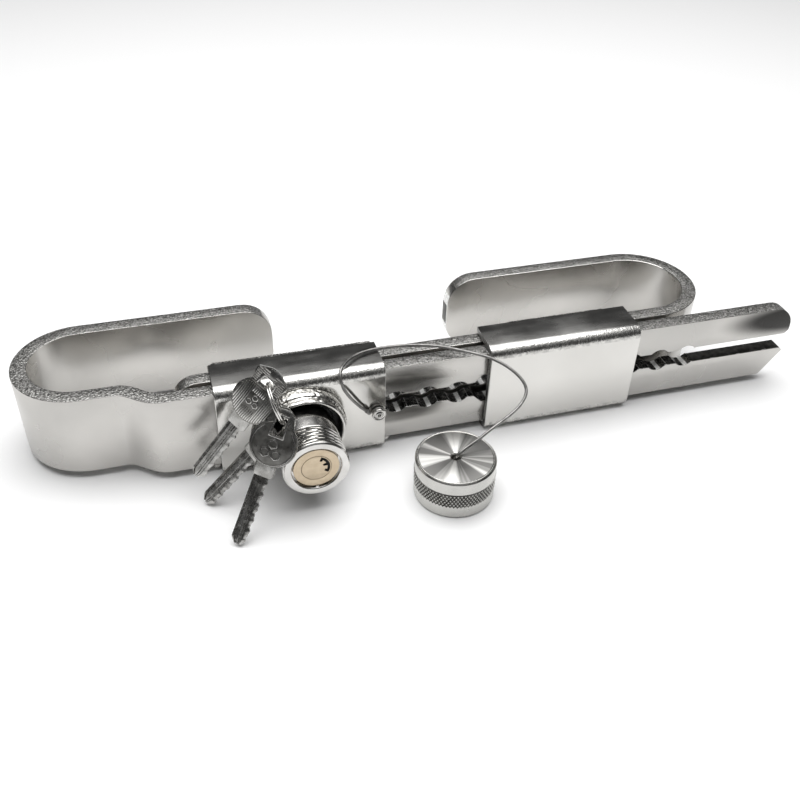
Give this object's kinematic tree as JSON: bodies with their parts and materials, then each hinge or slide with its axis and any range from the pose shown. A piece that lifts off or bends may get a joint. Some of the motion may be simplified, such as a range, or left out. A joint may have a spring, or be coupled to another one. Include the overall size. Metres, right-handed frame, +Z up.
{
  "type": "adjustable trailer door lock",
  "caption": "Adjustable trailer door lock: opposed flat-steel hook arms with lobed slots, slide guide, push-in plunger key lock, tethered dust cap and keys.",
  "frame": {"origin": "underside of the lock housing, straight below the lock axis and mid-way between the two bars", "axes": "+X along the bars towards the right hook, +Y away from the keyed face towards the hooks' free legs, +Z up across the bars' width"},
  "size_m": [0.4683, 0.1594, 0.0831],
  "materials": {
    "plated_bar": "satin zinc plating with dark sheared edges",
    "plated_plate": "bright zinc plating",
    "weld": "plated weld bead",
    "bright_steel": "bright turned steel",
    "brass": "matt nickel-brass",
    "dark_steel": "blackened hardened steel",
    "rubber": "matt black",
    "cable": "stranded galvanised wire"
  },
  "bodies": {
    "left_arm": {"left_hook_bar": "plated_bar", "housing_channel": "plated_plate", "housing_back_plate": "plated_plate", "housing_weld_top": "weld", "housing_weld_bottom": "weld", "bar_weld_left": "weld", "bar_weld_right": "weld", "guide_rod": "bright_steel", "lock_collar": "plated_plate", "collar_bush": "dark_steel", "lanyard_rivet": "bright_steel", "cable_eye": "cable", "cable_ferrule": "cable", "lanyard_cable": "cable", "cable_stop": "cable"},
    "right_arm": {"right_hook_bar": "plated_bar", "guide_channel": "plated_plate", "guide_weld_top": "weld", "guide_weld_bottom": "weld"},
    "plunger": {"lock_body": "bright_steel", "lock_face": "brass", "bolt_pin": "bright_steel", "bolt_spring": "dark_steel"},
    "key_cylinder": {"key_plug": "brass", "detainer_disc_1": "brass", "detainer_disc_2": "brass", "detainer_disc_3": "brass", "detainer_disc_4": "brass", "detainer_disc_5": "brass", "detainer_disc_6": "brass", "detainer_disc_7": "brass", "detainer_disc_8": "brass", "plug_clip": "bright_steel"},
    "latch": {"latch_pin": "bright_steel"},
    "cap_swivel": {"dust_cap": "plated_plate", "cap_seal": "rubber"},
    "key_bunch": {"key_ring": "bright_steel"},
    "key_a_swing": {"key_a": "bright_steel"},
    "key_b_swing": {"key_b": "bright_steel"},
    "key_c_swing": {"key_c": "bright_steel"}
  },
  "joints": [
    {"name": "right_arm_slide", "type": "slide", "parent": "left_arm", "child": "right_arm", "axis": [1, 0, 0], "range_m": [0, 0.0564]},
    {"name": "lock_push", "type": "slide", "parent": "left_arm", "child": "plunger", "axis": [0, 1, 0], "range_m": [0, 0.0065], "stiffness_N_per_m": 300, "springref_m": -0.01, "deforming": ["bolt_spring"]},
    {"name": "key_turn", "type": "hinge", "parent": "plunger", "child": "key_cylinder", "pos_m": [0, -0.0555, 0.0297], "axis": [0, 1, 0], "range_deg": [0, 90]},
    {"name": "latch_slide", "type": "slide", "parent": "plunger", "child": "latch", "axis": [0, 0, -1], "range_m": [0, 0.0015]},
    {"name": "cap_turn", "type": "hinge", "parent": "left_arm", "child": "cap_swivel", "pos_m": [0.0768, -0.0589, 0], "axis": [0, 0, 1], "continuous": true},
    {"name": "key_ring_lift", "type": "slide", "parent": "left_arm", "child": "key_bunch", "axis": [0, 0, 1], "range_m": [0, 0.1]},
    {"name": "key_a_swing", "type": "hinge", "parent": "key_bunch", "child": "key_a_swing", "pos_m": [-0.01945, -0.03335, 0.07437], "axis": [0.19, 0.8619, -0.4701], "range_deg": [0, 8]},
    {"name": "key_b_swing", "type": "hinge", "parent": "key_bunch", "child": "key_b_swing", "pos_m": [-0.01389, -0.04147, 0.05538], "axis": [0.1177, 0.9677, -0.223], "range_deg": [0, 5]},
    {"name": "key_c_swing", "type": "hinge", "parent": "key_bunch", "child": "key_c_swing", "pos_m": [-0.01583, -0.04836, 0.06048], "axis": [0.2861, 0.4634, -0.8387], "range_deg": [0, 8]}
  ],
  "couplings": [
    {"joint": "latch_slide", "follows": "key_turn", "m_per_rad": 0.00095}
  ]
}
